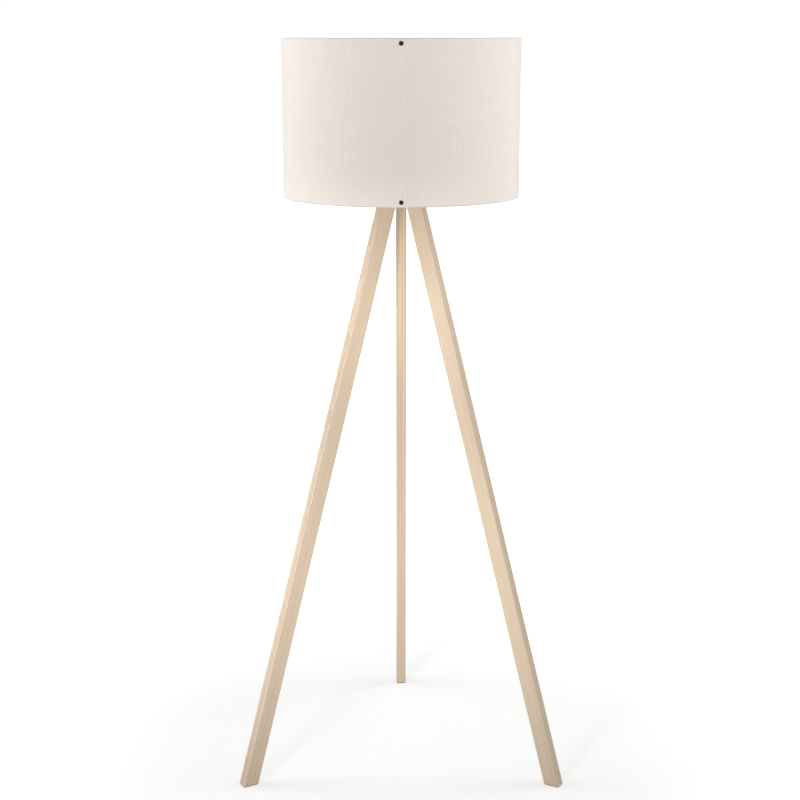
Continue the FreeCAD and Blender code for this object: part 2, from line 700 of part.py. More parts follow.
shade_panel = new_body("shade_panel", FRONT)
wall = new_sketch(shade_panel, "wall", offset=SHADE_BOTTOM)
draw_circle(wall, "0", "0", SHADE_RADIUS)
draw_circle(wall, "0", "0", LINING_RADIUS)
pad(shade_panel, wall, "shade_height")
flap = new_sketch(shade_panel, "flap", "XZ_Plane")
draw_outline(
    flap,
    [
        (FLAP_RADIUS, SHADE_BOTTOM),
        (f"{LINING_RADIUS} + lap_sink", SHADE_BOTTOM),
        (f"{LINING_RADIUS} + lap_sink", "overall_height"),
        (FLAP_RADIUS, "overall_height"),
    ],
)
lap = shade_panel.newObject("PartDesign::Revolution", "shade_panel_lap")
lap.Profile = flap
lap.ReferenceAxis = (flap, ["V_Axis"])
lap.Midplane = True
bind(lap, "Angle", f"lap_width / {LINING_RADIUS} * 180 / pi")
doc.recompute()


def rivet_sketch(body, name, radius, offset):
    """One circle at each rivet, in an upright plane across the seam."""
    sketch = new_sketch(body, name, "YZ_Plane", offset)
    for height in RIVET_HEIGHTS:
        draw_circle(sketch, "0", height, radius)
    return sketch


rivet_holes = rivet_sketch(
    shade_panel, "holes", "rivet_shank_diameter / 2 + glue_gap", f"{FLAP_RADIUS} - shade_wall"
)
pocket(shade_panel, rivet_holes, "4 * shade_wall", upward=True)

seam_rivet_heads = new_body("seam_rivet_heads", FRONT)
heads = rivet_sketch(seam_rivet_heads, "heads", "rivet_head_diameter / 2", SHADE_RADIUS)
pad(seam_rivet_heads, heads, "rivet_head_height")
outer_rim = number(f"{SHADE_RADIUS} + rivet_head_height")
eased(seam_rivet_heads, lambda edge: edge.BoundBox.XMin > outer_rim - LEVEL, "rivet_head_height / 2")
shanks = rivet_sketch(
    seam_rivet_heads, "shanks", "rivet_shank_diameter / 2", f"{FLAP_RADIUS} - rivet_back_height"
)
pad(seam_rivet_heads, shanks, "rivet_back_height + 2 * shade_wall")

seam_rivet_backs = new_body("seam_rivet_backs", FRONT)
backs = new_sketch(
    seam_rivet_backs, "backs", "YZ_Plane", f"{FLAP_RADIUS} - glue_gap - rivet_back_height"
)
for level in RIVET_HEIGHTS:
    draw_circle(backs, "0", level, "rivet_back_diameter / 2")
    draw_circle(backs, "0", level, "rivet_shank_diameter / 2 + glue_gap")
pad(seam_rivet_backs, backs, "rivet_back_height")


def make_wire_ring(label, height):
    """A hoop of round wire inside one rim of the shade."""
    ring = doc.addObject("Part::Torus", label)
    ring.Label = label
    bind(ring, "Radius1", WIRE_RADIUS)
    bind(ring, "Radius2", "wire_diameter / 2")
    bind(ring, "Placement.Base.z", f"1 mm * {height}")


make_wire_ring("upper_wire_ring", UPPER_WIRE)
make_wire_ring("lower_wire_ring", LOWER_WIRE)

fitter_ring = new_body("fitter_ring")
annulus = new_sketch(fitter_ring, "annulus", offset=FITTER_BOTTOM)
draw_circle(annulus, "0", "0", FITTER_RADIUS)
draw_circle(annulus, "0", "0", FITTER_BORE_RADIUS)
pad(fitter_ring, annulus, "fitter_thickness")

# Three wires welded to the lower hoop and to the underside of the fitter ring, midway between the legs.
spider_arms = new_body("spider_arms", FRONT)
route = new_sketch(spider_arms, "route", "XZ_Plane")
draw_outline(
    route,
    [
        (ARM_START, LOWER_WIRE),
        (f"{ARM_START} - arm_level_run", LOWER_WIRE),
        (f"{FITTER_RADIUS} + arm_inner_run", ARM_TOP),
        (f"{RING_NUT_RADIUS} + arm_end_gap", ARM_TOP),
    ],
    closed=False,
)
wire = new_sketch(spider_arms, "wire", "YZ_Plane", ARM_START)
draw_circle(wire, "0", LOWER_WIRE, "wire_diameter / 2")
arm = spider_arms.newObject("PartDesign::AdditivePipe", "spider_arms_pipe")
arm.Profile = wire
arm.Spine = (route, [f"Edge{i + 1}" for i in range(len(route.Shape.Edges))])
arm.Transition = "Right corner"
doc.recompute()
pattern(spider_arms, [arm], ARM_COUNT)

# --- Check every object, then write one file for each piece --------------------------------------------

doc.recompute()
for thing in doc.Objects:
    if "Invalid" in thing.State or "Error" in thing.State:
        raise RuntimeError(f"{thing.Name} failed: {thing.State}")

pieces = [
    thing
    for thing in doc.Objects
    if thing.TypeId in ("PartDesign::Body", "Part::Torus") or thing is bulb_globe
]
for piece in pieces:
    if piece.Shape.isNull() or not piece.Shape.isValid() or not piece.Shape.Solids:
        raise RuntimeError(f"{piece.Label} has no valid shape")

os.makedirs("parts", exist_ok=True)
for piece in pieces:
    piece.Shape.exportStep(f"parts/{piece.Label}.step")
    print(piece.Label, len(piece.Shape.Solids), round(piece.Shape.Volume, 1))
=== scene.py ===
import math

import bmesh
import bpy
from mathutils import Matrix, Vector, noise


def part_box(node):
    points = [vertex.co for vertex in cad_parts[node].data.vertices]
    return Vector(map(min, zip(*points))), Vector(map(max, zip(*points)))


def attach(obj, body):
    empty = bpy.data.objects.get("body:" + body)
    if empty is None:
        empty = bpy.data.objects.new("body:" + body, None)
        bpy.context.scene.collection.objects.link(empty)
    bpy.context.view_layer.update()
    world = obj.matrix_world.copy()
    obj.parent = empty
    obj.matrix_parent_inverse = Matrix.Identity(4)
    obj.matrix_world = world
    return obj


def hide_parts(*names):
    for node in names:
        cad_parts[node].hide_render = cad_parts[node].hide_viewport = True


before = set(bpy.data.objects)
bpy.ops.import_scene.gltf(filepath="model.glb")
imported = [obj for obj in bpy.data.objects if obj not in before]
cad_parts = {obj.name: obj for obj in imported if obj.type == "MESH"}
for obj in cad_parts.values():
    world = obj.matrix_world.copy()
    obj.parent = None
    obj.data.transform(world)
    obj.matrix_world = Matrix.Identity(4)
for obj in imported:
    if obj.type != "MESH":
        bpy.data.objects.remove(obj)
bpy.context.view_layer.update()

scene = bpy.context.scene
AXIS = Vector((0, 0, 1))

# --- Camera --------------------------------------------------------------------------------------------
# An eye-high camera, level with the shade's upper rim, that looks down at the whole lamp.
camera_data = bpy.data.cameras.new("camera")
camera_data.lens = 71.6
camera_data.sensor_width = 36.0
camera = bpy.data.objects.new("camera", camera_data)
camera.location = (-0.0022, -2.99, 1.40)
camera.rotation_euler = (math.radians(90 - 12.82), 0, 0)
scene.collection.objects.link(camera)
scene.camera = camera


# --- Studio: pale seamless floor, white surround and soft boxes ------------------------------------------
# The floor is one wide sheet of white paper that glows with painted light, weakest near the lamp and
# brightest further out, so that it stays white and shadows on it stay faint. A large soft box stands on each
# side of the shade. Three small ones in front light the legs, the legs' upper ends and the front of the
# shade.
def add_node(tree, kind, inputs=(), **settings):
    """A shader node with its settings, and its inputs set to values or linked to other nodes' outputs."""
    node = tree.nodes.new("ShaderNode" + kind)
    for name, value in settings.items():
        setattr(node, name, value)
    for name, value in dict(inputs).items():
        if isinstance(value, bpy.types.NodeSocket):
            tree.links.new(value, node.inputs[name])
        else:
            node.inputs[name].default_value = value
    return node


def new_material(name, **sockets):
    """A material with one Principled shader, and that shader's plain values."""
    material = bpy.data.materials.new(name)
    material.use_nodes = True
    shader = material.node_tree.nodes["Principled BSDF"]
    for socket, value in sockets.items():
        shader.inputs[socket.replace("_", " ")].default_value = value
    return material, material.node_tree, shader


def soft_box(name, place, target, width, height, watts, spread=180.0):
    """A rectangular area light that faces a target."""
    data = bpy.data.lights.new(name, "AREA")
    data.shape = "RECTANGLE"
    data.size = width
    data.size_y = height
    data.energy = watts
    data.spread = math.radians(spread)
    lamp = bpy.data.objects.new(name, data)
    lamp.location = place
    lamp.rotation_euler = (Vector(target) - Vector(place)).to_track_quat("-Z", "Y").to_euler()
    lamp.visible_camera = False
    scene.collection.objects.link(lamp)


world = bpy.data.worlds.new("white_surround")
world.use_nodes = True
tree = world.node_tree
surround = tree.nodes["Background"]
surround.inputs["Color"].default_value = (1, 1, 1, 1)
surround.inputs["Strength"].default_value = 0.45
backdrop = add_node(tree, "Background", {"Color": (1, 1, 1, 1), "Strength": 1.02})
seen = add_node(tree, "LightPath")
either = add_node(
    tree,
    "MixShader",
    {0: seen.outputs["Is Camera Ray"], 1: surround.outputs["Background"], 2: backdrop.outputs["Background"]},
)
tree.links.new(either.outputs["Shader"], tree.nodes["World Output"].inputs["Surface"])
scene.world = world
scene.view_settings.view_transform = "Standard"

soft_box("left_box", (-1.9, 0.25, 1.9), (0, 0, 1.2), 1.0, 1.4, 17.4)
soft_box("right_box", (1.9, 0.25, 1.9), (0, 0, 1.2), 1.0, 1.4, 14.9)
soft_box("front_box", (-1.1, -2.4, 0.85), (0, 0, 0.38), 0.5, 0.4, 1.36, 27.0)
soft_box("upper_leg_box", (-0.9, -2.4, 0.95), (0, 0, 0.93), 0.5, 0.10, 0.25, 12.0)
soft_box("high_box", (0, -1.9, 2.6), (0, -0.15, 1.40), 0.5, 0.3, 0.23, 28.0)

bm = bmesh.new()
bmesh.ops.create_grid(bm, x_segments=1, y_segments=1, size=60.0)
floor_mesh = bpy.data.meshes.new("paper_floor")
bm.to_mesh(floor_mesh)
bm.free()
floor = bpy.data.objects.new("paper_floor", floor_mesh)
scene.collection.objects.link(floor)
paper, tree, shader = new_material("glowing_white_paper", Roughness=0.95, Specular_IOR_Level=0.1)
shader.inputs["Base Color"].default_value = (0.55, 0.55, 0.55, 1.0)
shader.inputs["Emission Color"].default_value = (1, 1, 1, 1)
where = add_node(tree, "TexCoord")
from_lamp = add_node(tree, "VectorMath", {0: where.outputs["Object"]}, operation="LENGTH")
# painted light: the paper glows, from 0.52 near the lamp up to 1.02 from 1.4 m out
painted_floor_glow = add_node(
    tree,
    "MapRange",
    {"Value": from_lamp.outputs["Value"], "From Min": 0.3, "From Max": 1.4, "To Min": 0.52, "To Max": 1.02},
    interpolation_type="SMOOTHSTEP",
)
tree.links.new(painted_floor_glow.outputs["Result"], shader.inputs["Emission Strength"])
fibres = add_node(tree, "TexNoise", {"Vector": where.outputs["Object"], "Scale": 260.0, "Detail": 4.0})
ripple = add_node(tree, "Bump", {"Height": fibres.outputs["Fac"], "Strength": 0.15, "Distance": 0.0003})
tree.links.new(ripple.outputs["Normal"], shader.inputs["Normal"])
floor_mesh.materials.append(paper)


# --- Legs -----------------------------------------------------------------------------------------------
# Three bars of pale straight-grained wood, planed, their long edges eased, cut level at the floor and at
# the top, with a clear matt lacquer. They are the design's own solids, in a wood whose grain runs along
# each bar.
def wood(name, place, turn, seed):
    """Pale wood with its grain along the Z axis of a frame at a place, turned by Euler angles."""
    material, tree, shader = new_material(name, Roughness=0.5, IOR=1.45)
    shader.inputs["Coat Weight"].default_value = 0.12
    shader.inputs["Coat Roughness"].default_value = 0.35
    where = add_node(tree, "TexCoord")
    bar = add_node(
        tree,
        "Mapping",
        {"Vector": where.outputs["Object"], "Location": place, "Rotation": turn},
        vector_type="TEXTURE",
    )
    # growth lines: wide rings about a pith outside the bar, drawn out along it
    pith = add_node(
        tree,
        "Mapping",
        {
            "Vector": bar.outputs["Vector"],
            "Location": (0.07 + seed * 0.004, 0.03, seed),
            "Scale": (1, 1, 0.03),
        },
    )
    sway = add_node(tree, "TexNoise", {"Vector": pith.outputs["Vector"], "Scale": 14.0, "Detail": 2.0})
    rings = add_node(
        tree,
        "TexWave",
        {
            "Vector": pith.outputs["Vector"],
            "Scale": 95.0,
            "Distortion": 5.0,
            "Detail": 2.0,
            "Detail Scale": 0.35,
        },
        wave_type="RINGS",
        rings_direction="Z",
        wave_profile="SAW",
    )
    # fibres: fine streaks along the bar
    stretched = add_node(
        tree,
        "Mapping",
        {"Vector": bar.outputs["Vector"], "Location": (seed, seed, 0), "Scale": (1, 1, 0.012)},
    )
    along = stretched.outputs["Vector"]
    fibres = add_node(tree, "TexNoise", {"Vector": along, "Scale": 1100.0, "Detail": 3.0})
    streaks = add_node(tree, "TexNoise", {"Vector": along, "Scale": 240.0, "Detail": 2.0})
    # flecks: short dark pores
    dashes = add_node(
        tree,
        "Mapping",
        {"Vector": bar.outputs["Vector"], "Location": (0, seed, 0), "Scale": (1, 1, 0.09)},
    )
    pores = add_node(tree, "TexVoronoi", {"Vector": dashes.outputs["Vector"], "Scale": 620.0})
    pore = add_node(
        tree,
        "MapRange",
        {
            "Value": pores.outputs["Distance"],
            "From Min": 0.05,
            "From Max": 0.22,
            "To Min": 1.0,
            "To Max": 0.0,
        },
    )
    lines = add_node(tree, "ValToRGB", {"Fac": rings.outputs["Fac"]})
    lines.color_ramp.elements[0].color = (0.570, 0.460, 0.339, 1)
    lines.color_ramp.elements[1].color = (0.496, 0.376, 0.257, 1)
    lines.color_ramp.elements[0].position = 0.30
    lines.color_ramp.elements[1].position = 0.97
    tone = add_node(
        tree,
        "MapRange",
        {"Value": sway.outputs["Fac"], "From Min": 0.3, "From Max": 0.7, "To Min": 0.93, "To Max": 1.06},
    )
    streak = add_node(
        tree,
        "MapRange",
        {"Value": streaks.outputs["Fac"], "From Min": 0.3, "From Max": 0.7, "To Min": 0.92, "To Max": 1.05},
    )
    shade = add_node(
        tree, "Math", {0: tone.outputs["Result"], 1: streak.outputs["Result"]}, operation="MULTIPLY"
    )
    grey = add_node(tree, "CombineColor", {c: shade.outputs["Value"] for c in ("Red", "Green", "Blue")})
    toned = add_node(
        tree,
        "Mix",
        {"Factor": 1.0, 6: lines.outputs["Color"], 7: grey.outputs["Color"]},
        data_type="RGBA",
        blend_type="MULTIPLY",
    )
    flecked = add_node(
        tree,
        "Mix",
        {6: toned.outputs[2], 7: (0.349, 0.232, 0.132, 1)},
        data_type="RGBA",
    )
    amount = add_node(tree, "Math", {0: pore.outputs["Result"], 1: 0.28}, operation="MULTIPLY")
    tree.links.new(amount.outputs["Value"], flecked.inputs["Factor"])
    tree.links.new(flecked.outputs[2], shader.inputs["Base Color"])
    rough = add_node(
        tree,
        "MapRange",
        {"Value": fibres.outputs["Fac"], "To Min": 0.42, "To Max": 0.62},
    )
    tree.links.new(rough.outputs["Result"], shader.inputs["Roughness"])
    height = add_node(
        tree, "Math", {0: fibres.outputs["Fac"], 1: amount.outputs["Value"]}, operation="SUBTRACT"
    )
    relief = add_node(
        tree, "Bump", {"Height": height.outputs["Value"], "Strength": 0.35, "Distance": 0.00025}
    )
    tree.links.new(relief.outputs["Normal"], shader.inputs["Normal"])
    return material


def wear(node, material):
    """Give a carried-over solid its finish."""
    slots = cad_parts[node].material_slots
    for slot in slots:
        slot.material = material
    if not slots:
        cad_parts[node].data.materials.append(material)


LEG_WIDTH = 0.031
rear_low, rear_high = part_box("leg_rear")
leg_run = rear_high.y - rear_low.y - LEG_WIDTH
leg_rise = rear_high.z - rear_low.z
leg_lean = math.atan2(leg_run, leg_rise)
foot_radius = rear_high.y - LEG_WIDTH / 2
LEG_ANGLES = {"leg_rear": 90.0, "leg_front_left": 210.0, "leg_front_right": 330.0}
for seed, (leg, degrees) in enumerate(LEG_ANGLES.items()):
    angle = math.radians(degrees)
    foot = (foot_radius * math.cos(angle), foot_radius * math.sin(angle), rear_low.z)
    wear(leg, wood(leg + "_wood", foot, (0, -leg_lean, angle), seed))


# --- Felt pads --------------------------------------------------------------------------------------------
# A thin pad of pressed brown wool felt is glued under each foot.
def mottled(name, pale, dark, grain, roughness, relief, stretch=(1, 1, 1), **sockets):
    """A finish whose colour and gloss drift between two values, with a fine relief of a grain's scale."""
    material, tree, shader = new_material(name, **sockets)
    where = add_node(tree, "TexCoord")
    laid = add_node(tree, "Mapping", {"Vector": where.outputs["Object"], "Scale": stretch})
    drift = add_node(tree, "TexNoise", {"Vector": laid.outputs["Vector"], "Scale": grain / 9, "Detail": 5.0})
    fine = add_node(tree, "TexNoise", {"Vector": laid.outputs["Vector"], "Scale": grain, "Detail": 4.0})
    both = add_node(tree, "Math", {0: drift.outputs["Fac"], 1: fine.outputs["Fac"]}, operation="ADD")
    amount = add_node(tree, "MapRange", {"Value": both.outputs["Value"], "From Min": 0.7, "From Max": 1.3})
    colour = add_node(
        tree, "Mix", {"Factor": amount.outputs["Result"], 6: (*pale, 1), 7: (*dark, 1)}, data_type="RGBA"
    )
    gloss = add_node(
        tree,
        "MapRange",
        {"Value": amount.outputs["Result"], "To Min": roughness[0], "To Max": roughness[1]},
    )
    bump = add_node(
        tree, "Bump", {"Height": fine.outputs["Fac"], "Strength": relief[0], "Distance": relief[1]}
    )
    tree.links.new(colour.outputs[2], shader.inputs["Base Color"])
    tree.links.new(gloss.outputs["Result"], shader.inputs["Roughness"])
    tree.links.new(bump.outputs["Normal"], shader.inputs["Normal"])
    return material


wear(
    "felt_pads",
    mottled(
        "brown_felt",
        (0.150, 0.110, 0.080),
        (0.070, 0.050, 0.036),
        2400.0,
        (0.85, 1.0),
        (0.8, 0.0006),
        Sheen_Weight=0.5,
        Sheen_Roughness=0.6,
    ),
)


# --- Top plate --------------------------------------------------------------------------------------------
# A turned disc of the same pale wood, with its grain lying level, rests on the three legs.
plate_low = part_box("top_plate")[0]
PLATE_TURN = math.radians(24)
wear(
    "top_plate",
    wood("plate_wood_grain", (0, 0, plate_low.z), (math.radians(90), 0, PLATE_TURN), 5),
)


# --- Hanger bolts, washers and nuts -----------------------------------------------------------------------
# Bright zinc-plated M6 fastenings: each bolt is screwed into a leg's top end and comes up through the plate,
# where a washer and a hexagon nut pull it tight.
def lathe(bm, outline, steps=64, closed=True):
    """Spin an outline of (radius, height) points a full turn about the Z axis, and return its vertices."""
    before = set(bm.verts)
    points = [bm.verts.new((radius, 0, height)) for radius, height in outline]
    nexts = points[1:] + points[:1] if closed else points[1:]
    edges = [bm.edges.new(pair) for pair in zip(points, nexts)]
    bmesh.ops.spin(
        bm, geom=points + edges, cent=(0, 0, 0), axis=AXIS, angle=math.tau, steps=steps, use_merge=True
    )
    fresh = [vert for vert in bm.verts if vert not in before]
    bmesh.ops.remove_doubles(bm, verts=fresh, dist=1e-7)
    return [vert for vert in bm.verts if vert not in before]


def threaded(radius, low, high, pitch, depth):
    """A screw thread's outline, root and crest in turn, from a low end to a high one."""
    turns = round((high - low) / pitch)
    step = (high - low) / turns
    points = [(radius - depth, low)]
    for turn in range(turns):
        points.append((radius, low + (turn + 0.35) * step))
        points.append((radius, low + (turn + 0.65) * step))
        points.append((radius - depth, low + (turn + 1) * step))
    return points


def hexagon_nut(bm, flats, bore, low, high, chamfer):
    """A nut about the Z axis: a turned blank with chamfered rims, cut to six flats."""
    corner = flats / math.sqrt(3)
    fresh = lathe(
        bm,
        [
            (bore, low),
            (corner - 1.7 * chamfer, low),
            (corner, low + chamfer),
            (corner, high - chamfer),
            (corner - 1.7 * chamfer, high),
            (bore, high),
        ],
        steps=72,
    )
    for side in range(6):
        normal = Vector((math.cos(math.radians(60 * side + 30)), math.sin(math.radians(60 * side + 30)), 0))
        island = [vert for vert in fresh if vert.is_valid]
        geom = set(island)
        for vert in island:
            geom.update(vert.link_edges)
            geom.update(vert.link_faces)
        cut = bmesh.ops.bisect_plane(
            bm, geom=list(geom), plane_co=normal * flats / 2, plane_no=normal, clear_outer=True
        )
        rim = [part for part in cut["geom_cut"] if isinstance(part, bmesh.types.BMEdge)]
        bmesh.ops.edgeloop_fill(bm, edges=rim)
        fresh = list({v for v in fresh if v.is_valid} | {v for edge in rim for v in edge.verts})


def thrice(bm, radius, first_angle):
    """Move what is in a bmesh out to a radius at a first angle, and repeat it at the two others."""
    bmesh.ops.translate(bm, verts=bm.verts, vec=(radius, 0, 0))
    bmesh.ops.rotate(
        bm, verts=bm.verts, cent=(0, 0, 0), matrix=Matrix.Rotation(math.radians(first_angle), 3, "Z")
    )
    bmesh.ops.spin(
        bm,
        geom=bm.verts[:] + bm.edges[:] + bm.faces[:],
        cent=(0, 0, 0),
        axis=AXIS,
        angle=math.radians(240),
        steps=2,
        use_duplicate=True,
    )


def finish_piece(bm, name, material, body, nodes, ease=0.0, outward=True):
    """Make a bmesh a piece that rides on a body and stands for CAD nodes, with its edges eased."""
    if outward:
        bmesh.ops.recalc_face_normals(bm, faces=bm.faces)
    mesh = bpy.data.meshes.new(name)
    bm.to_mesh(mesh)
    bm.free()
    mesh.shade_smooth()
    mesh.materials.append(material)
    piece = bpy.data.objects.new(name, mesh)
    scene.collection.objects.link(piece)
    if ease:
        eased = piece.modifiers.new("eased_edges", "BEVEL")
        eased.width = ease
        eased.segments = 2
        eased.limit_method = "ANGLE"
        eased.angle_limit = math.radians(32)
        eased.harden_normals = True
    else:
        mesh.set_sharp_from_angle(angle=math.radians(38))
    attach(piece, body)
    if nodes:
        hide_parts(*nodes)
    return piece


zinc = mottled(
    "bright_zinc", (0.78, 0.78, 0.76), (0.60, 0.61, 0.62), 900.0, (0.22, 0.42), (0.12, 0.00008), Metallic=1.0
)
REAR_ANGLE = 90.0
BOLT = 0.003
THREAD_LENGTH = 0.017
THREAD_PITCH = 0.001
THREAD_DEPTH = 0.0005
THREAD_GAP = 0.00006
WASHER_GAP = 0.0003
bolts_low, bolts_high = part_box("hanger_bolts")
bolt_circle = bolts_high.y - BOLT
bm = bmesh.new()
root = BOLT - 0.0004
lathe(
    bm,
    [(0, bolts_low.z), (root - 0.0012, bolts_low.z), (root, bolts_low.z + 0.003)]
    + threaded(BOLT, bolts_high.z - THREAD_LENGTH, bolts_high.z - 0.0008, THREAD_PITCH, THREAD_DEPTH)
    + [(BOLT - 0.0009, bolts_high.z), (0, bolts_high.z)],
    steps=32,
    closed=False,
)
thrice(bm, bolt_circle, REAR_ANGLE)
finish_piece(bm, "hanger_bolts_threaded", zinc, "stand", ["hanger_bolts"])

washer_low, washer_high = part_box("plate_washers")
bm = bmesh.new()
washer_rim = washer_high.y - bolt_circle
lathe(
    bm,
    [
        (BOLT + WASHER_GAP, washer_low.z),
        (washer_rim, washer_low.z),
        (washer_rim, washer_high.z),
        (BOLT + WASHER_GAP, washer_high.z),
    ],
    steps=48,
)
thrice(bm, bolt_circle, REAR_ANGLE)
finish_piece(bm, "plate_washers_flat", zinc, "stand", ["plate_washers"], ease=0.00025)

nut_low, nut_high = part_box("plate_nuts")
NUT_FLATS = 0.010
bm = bmesh.new()
hexagon_nut(bm, NUT_FLATS, BOLT + THREAD_GAP, nut_low.z, nut_high.z, 0.0006)
thrice(bm, bolt_circle, REAR_ANGLE)
finish_piece(bm, "plate_nuts_hexagon", zinc, "stand", ["plate_nuts"], ease=0.00015)


# --- Lead-in ----------------------------------------------------------------------------------------------
# A threaded M10 tube holds the lampholder to the plate. A washer and a lock nut pull it down from below, and
# a black moulded bush lines its lower end, where the mains lead goes in.
nipple_low, nipple_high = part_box("threaded_nipple")
nipple_radius = nipple_high.x
NIPPLE_BORE = 0.0038
bm = bmesh.new()
lathe(
    bm,
    threaded(nipple_radius, nipple_low.z, nipple_high.z, THREAD_PITCH, THREAD_DEPTH)
    + [(NIPPLE_BORE, nipple_high.z), (NIPPLE_BORE, nipple_low.z)],
    steps=48,
)
finish_piece(bm, "threaded_nipple_turned", zinc, "stand", ["threaded_nipple"])

lock_low, lock_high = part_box("nipple_washer")
bm = bmesh.new()
lathe(
    bm,
    [
        (nipple_radius + WASHER_GAP, lock_low.z),
        (lock_high.x, lock_low.z),
        (lock_high.x, lock_high.z),
        (nipple_radius + WASHER_GAP, lock_high.z),
    ],
)
finish_piece(bm, "nipple_washer_flat", zinc, "stand", ["nipple_washer"], ease=0.0002)

lock_low, lock_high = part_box("nipple_lock_nut")
LOCK_FLATS = 0.014
bm = bmesh.new()
hexagon_nut(bm, LOCK_FLATS, nipple_radius + THREAD_GAP, lock_low.z, lock_high.z, 0.0005)
finish_piece(bm, "nipple_lock_nut_hexagon", zinc, "stand", ["nipple_lock_nut"], ease=0.00015)

black_plastic = mottled(
    "black_moulding", (0.020, 0.020, 0.021), (0.008, 0.008, 0.008), 1600.0, (0.32, 0.5), (0.2, 0.00012)
)
bush_low, bush_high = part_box("cord_inlet_bush")
BUSH_BORE = 0.003
BUSH_GAP = 0.00006
FLANGE = 0.002
bm = bmesh.new()
lathe(
    bm,
    [
        (BUSH_BORE + 0.0004, bush_low.z),
        (bush_high.x, bush_low.z),
        (bush_high.x, bush_low.z + FLANGE),
        (NIPPLE_BORE - BUSH_GAP, bush_low.z + FLANGE),
        (NIPPLE_BORE - BUSH_GAP, bush_high.z),
        (BUSH_BORE, bush_high.z),
        (BUSH_BORE, bush_low.z + 0.0005),
    ],
)
finish_piece(
    bm,
    "cord_inlet_bush_moulded",
    black_plastic,
    "stand",
    ["cord_inlet_bush"],
    ease=0.0003,
)


# --- Lampholder -------------------------------------------------------------------------------------------
# A black moulded lampholder for an E27 bulb: a fluted cap on the tube, and a body with a coarse outside
# thread for the shade's two ring nuts. Inside are a steatite block, a brass screw shell and brass contacts.
cap_low, cap_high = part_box("holder_cap")
cap_radius = cap_high.x
CAP_WALL = 0.0022
FLUTES = 32
FLUTE_STEPS = 4
bm = bmesh.new()
base = cap_low.z
fresh = lathe(
    bm,
    [
        (nipple_radius + 0.0001, base),
        (cap_radius - 0.0045, base),
        (cap_radius - 0.0006, base + 0.0053),
        (cap_radius, base + 0.0066),
        (cap_radius, base + 0.0078),
        (cap_radius - 0.0001, base + 0.0084),
        (cap_radius - 0.0001, base + 0.0174),
        (cap_radius, base + 0.0180),
        (cap_radius, cap_high.z),
        (cap_radius - CAP_WALL, cap_high.z),
        (cap_radius - CAP_WALL, base + 0.006),
        (cap_radius - 0.0056, base + 0.0035),
        (nipple_radius + 0.004, base + 0.0035),
        (nipple_radius + 0.004, base + 0.009),
        (nipple_radius + 0.0001, base + 0.009),
    ],
    steps=FLUTES * FLUTE_STEPS,
)
for vert in fresh:
    radius = vert.co.xy.length
    if cap_radius - 0.0002 < radius < cap_radius - 0.00005:
        step = round(math.atan2(vert.co.y, vert.co.x) / math.tau * FLUTES * FLUTE_STEPS) % FLUTE_STEPS
        if step < 2:
            vert.co.xy *= (cap_radius - 0.0006) / radius
finish_piece(bm, "holder_cap_fluted", black_plastic, "stand", ["holder_cap"], ease=0.00025)

body_low, body_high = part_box("holder_body")
body_radius = body_high.x
MOUTH = 0.0150
BLOCK_SEAT = 0.0159
HOLDER_PITCH = 0.0025
HOLDER_THREAD_DEPTH = 0.0007
bm = bmesh.new()
rim = cap_high.z
lathe(
    bm,
    [
        (cap_radius - CAP_WALL - 0.0003, body_low.z),
        (cap_radius - CAP_WALL - 0.0003, rim),
        (body_radius, rim),
        (body_radius, rim + 0.0016),
    ]
    + threaded(body_radius, rim + 0.0022, body_high.z - 0.0012, HOLDER_PITCH, HOLDER_THREAD_DEPTH)
    + [
        (body_radius - 0.0016, body_high.z),
        (MOUTH, body_high.z),
        (MOUTH, rim + 0.006),
        (BLOCK_SEAT, rim + 0.006),
        (BLOCK_SEAT, body_low.z),
    ],
    steps=96,
)
finish_piece(
    bm, "holder_body_threaded", black_plastic, "stand", ["holder_body"], ease=0.0002
)

steatite = mottled(
    "white_steatite", (0.78, 0.76, 0.70), (0.66, 0.63, 0.57), 1200.0, (0.5, 0.7), (0.25, 0.0002)
)
brass = mottled(
    "plain_brass", (0.80, 0.62, 0.30), (0.62, 0.44, 0.19), 700.0, (0.22, 0.40), (0.1, 0.00008), Metallic=1.0
)
wear("contact_block", steatite)
for node in ("screw_shell", "centre_contact", "terminal_screws"):
    wear(node, brass)


# --- Ring nuts --------------------------------------------------------------------------------------------
# Two black moulded ring nuts clamp the shade's fitter ring from below and above. Each has a wide flange with
# sixteen finger scallops and a narrower neck.
GRIPS = 16
SCALLOP = 0.0016  # radius of a scallop's round
NUT_RIM = 0.0285
NUT_NECK = 0.0240
NUT_FLANGE = 0.003
NUT_HEIGHT = 0.006
bore = body_radius + THREAD_GAP
outline = [
    (bore, 0.0),
    (NUT_RIM - 0.001, 0.0),
    (NUT_RIM, 0.0006),
    (NUT_RIM, NUT_FLANGE - 0.0006),
    (NUT_RIM - 0.0006, NUT_FLANGE),
    (NUT_NECK, NUT_FLANGE),
    (NUT_NECK, NUT_HEIGHT),
    (bore, NUT_HEIGHT),
]
for nut, body, upward in (("shade_nut_lower", "lower_nut", False), ("shade_nut_upper", "upper_nut", True)):
    low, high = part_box(nut)
    face, way = (low.z, 1) if upward else (high.z, -1)
    bm = bmesh.new()
    fresh = lathe(bm, [(radius, face + way * height) for radius, height in outline], steps=GRIPS * 20)
    for vert in fresh:
        radius = vert.co.xy.length
        if radius > NUT_RIM - 0.0015:
            turn = math.atan2(vert.co.y, vert.co.x) / math.tau * GRIPS
            aside = abs(turn - round(turn)) / GRIPS * math.tau * radius
            if aside < SCALLOP:
                depth = math.sqrt(SCALLOP**2 - aside**2) - SCALLOP / 2
                vert.co.xy *= 1 - max(depth, 0.0) / radius
    finish_piece(bm, nut + "_moulded", black_plastic, body, [nut], ease=0.0003)


